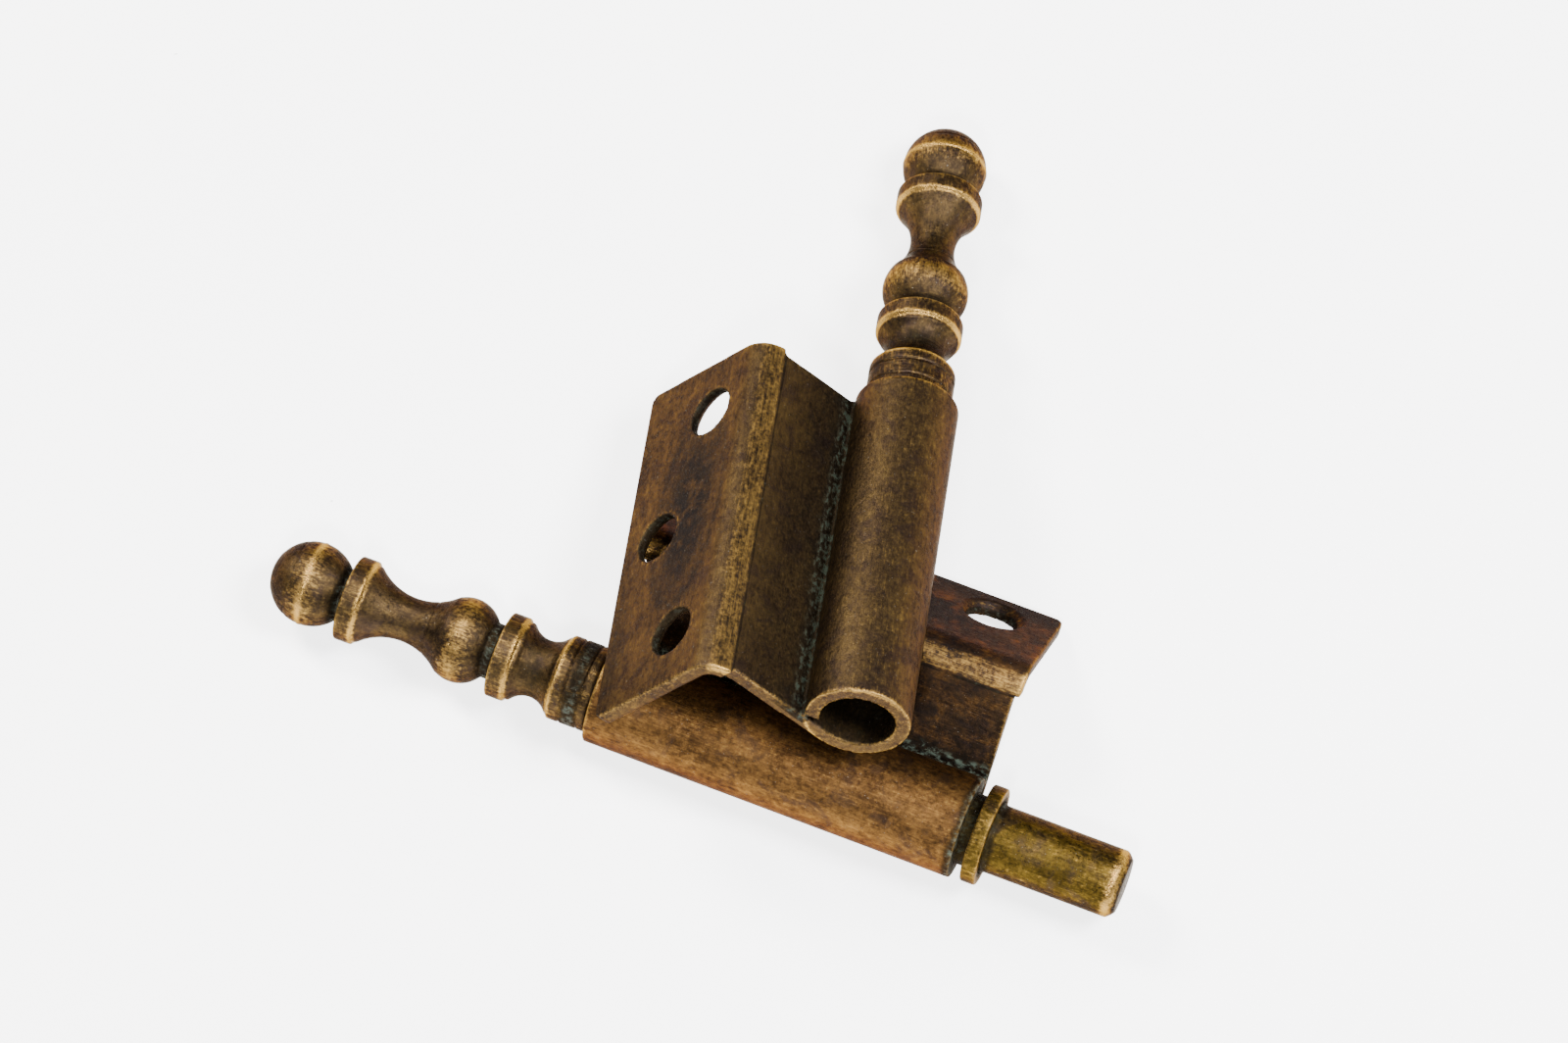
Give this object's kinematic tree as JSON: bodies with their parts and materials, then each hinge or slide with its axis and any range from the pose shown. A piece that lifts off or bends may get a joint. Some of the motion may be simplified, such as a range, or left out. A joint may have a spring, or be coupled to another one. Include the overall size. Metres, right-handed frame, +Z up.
{
  "type": "lift-off door hinge",
  "caption": "Lift-off door hinge, taken apart: cranked leaves with rolled knuckles, turned finials, a pin and a washer.",
  "frame": {"origin": "on the pin's axis, at the open face of the male knuckle", "axes": "+X along the pin, towards its free end; +Z up from the surface that the taken-apart hinge lies on"},
  "size_m": [0.0874, 0.0745, 0.0276],
  "materials": {
    "leaf_brass": "bronzed and worn, brown patina",
    "turned_brass": "turned, worn patina",
    "pin_metal": "dull, scratched",
    "washer_brass": "worn bright at its edges"
  },
  "bodies": {
    "male_half": {"leaf_m": "leaf_brass", "finial_m": "turned_brass", "pin": "pin_metal"},
    "loose_washer": {"washer": "washer_brass"},
    "female_finial": {"finial_f": "turned_brass"},
    "female_leaf": {"leaf_f": "leaf_brass"}
  },
  "joints": [
    {"name": "washer_slide", "type": "slide", "parent": "male_half", "child": "loose_washer", "axis": [1, 0, 0], "range_m": [-0.001, 0.0125]},
    {"name": "lift_off", "type": "slide", "parent": "male_half", "child": "female_finial", "axis": [-0.2326, 0.9398, -0.2504], "range_m": [-0.016, 0]},
    {"name": "swing", "type": "hinge", "parent": "female_finial", "child": "female_leaf", "pos_m": [-0.0114, 0.0004, 0.016], "axis": [-0.2326, 0.9398, -0.2504], "range_deg": [0, 120]}
  ]
}
